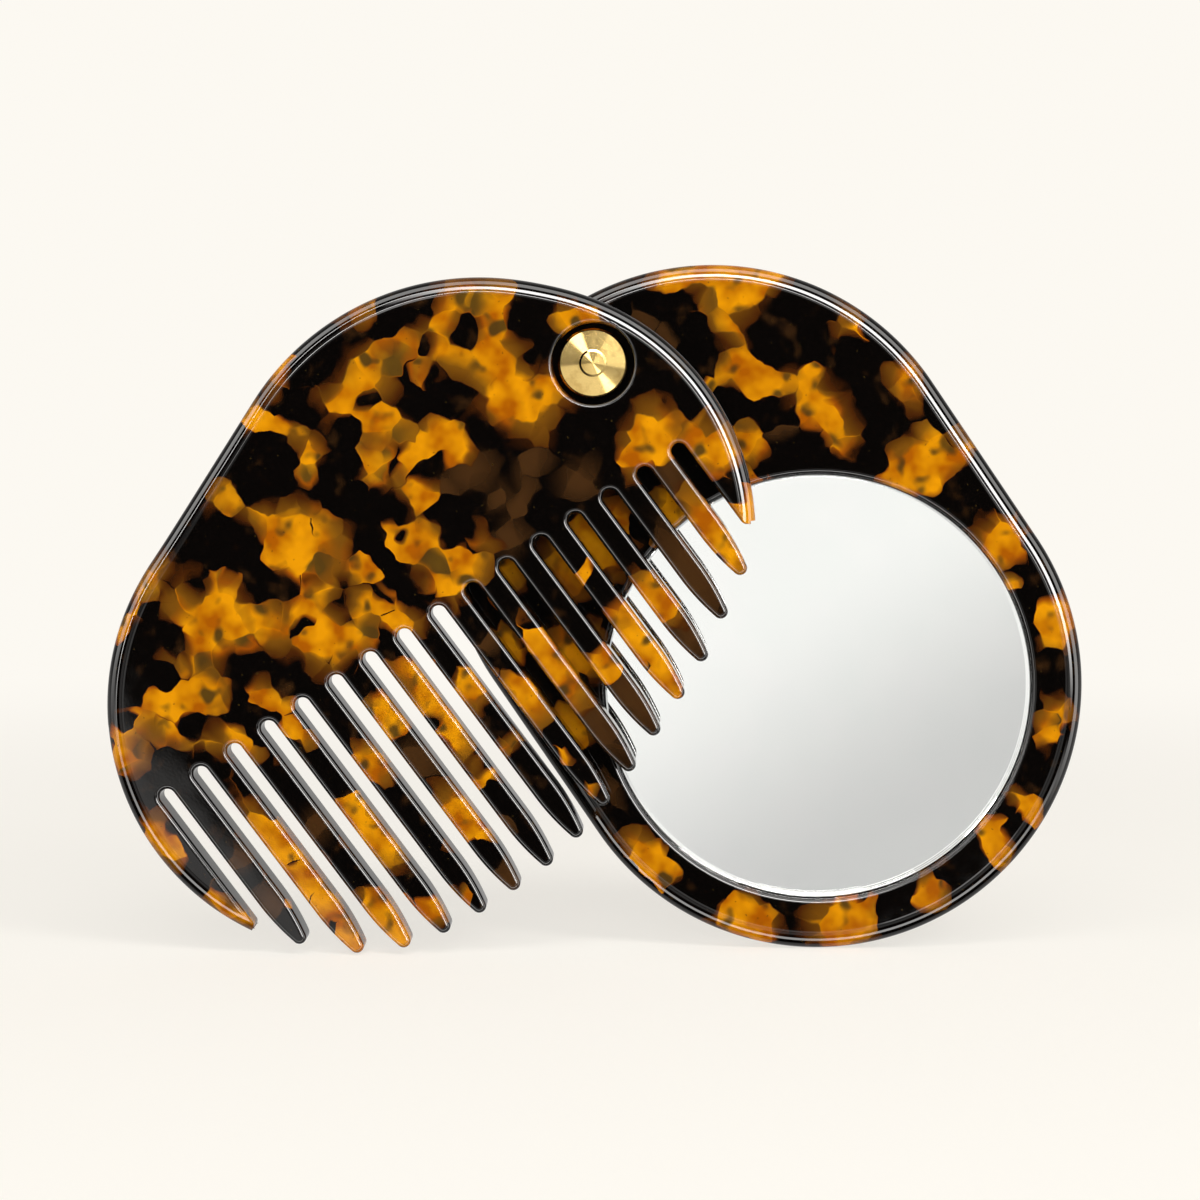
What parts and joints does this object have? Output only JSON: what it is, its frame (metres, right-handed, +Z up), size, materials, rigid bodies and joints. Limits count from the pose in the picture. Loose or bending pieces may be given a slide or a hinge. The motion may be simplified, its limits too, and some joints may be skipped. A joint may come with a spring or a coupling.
{
  "type": "pocket mirror comb",
  "caption": "Pocket comb and round mirror in two tortoiseshell acetate plates that swing apart on one brass pivot.",
  "frame": {"origin": "middle of the opened part's box, on the surface that it stands on", "axes": "+X right, +Y away from the viewer through the thickness, +Z up"},
  "size_m": [0.1372, 0.011, 0.0968],
  "materials": {
    "acetate": "polished tortoiseshell, amber with near-black patches",
    "mirror_glass": "polished",
    "silvering": "polished",
    "backing_paint": "matte",
    "adhesive": "matte",
    "brass": "polished",
    "spring_steel": "satin",
    "nylon": "satin"
  },
  "bodies": {
    "mirror_side": {"mirror_frame": "acetate", "mirror_glass": "mirror_glass", "mirror_silvering": "silvering", "mirror_backing_paint": "backing_paint", "mirror_adhesive": "adhesive", "pivot_post": "brass", "spring_washer": "spring_steel", "front_washer": "nylon", "plate_washer": "nylon", "rear_washer": "spring_steel", "pivot_screw": "brass"},
    "comb": {"comb_plate": "acetate"}
  },
  "joints": [
    {"name": "comb_pivot", "type": "hinge", "parent": "mirror_side", "child": "comb", "pos_m": [-0.0004, 0, 0.08302], "axis": [0, -1, 0], "continuous": true}
  ]
}
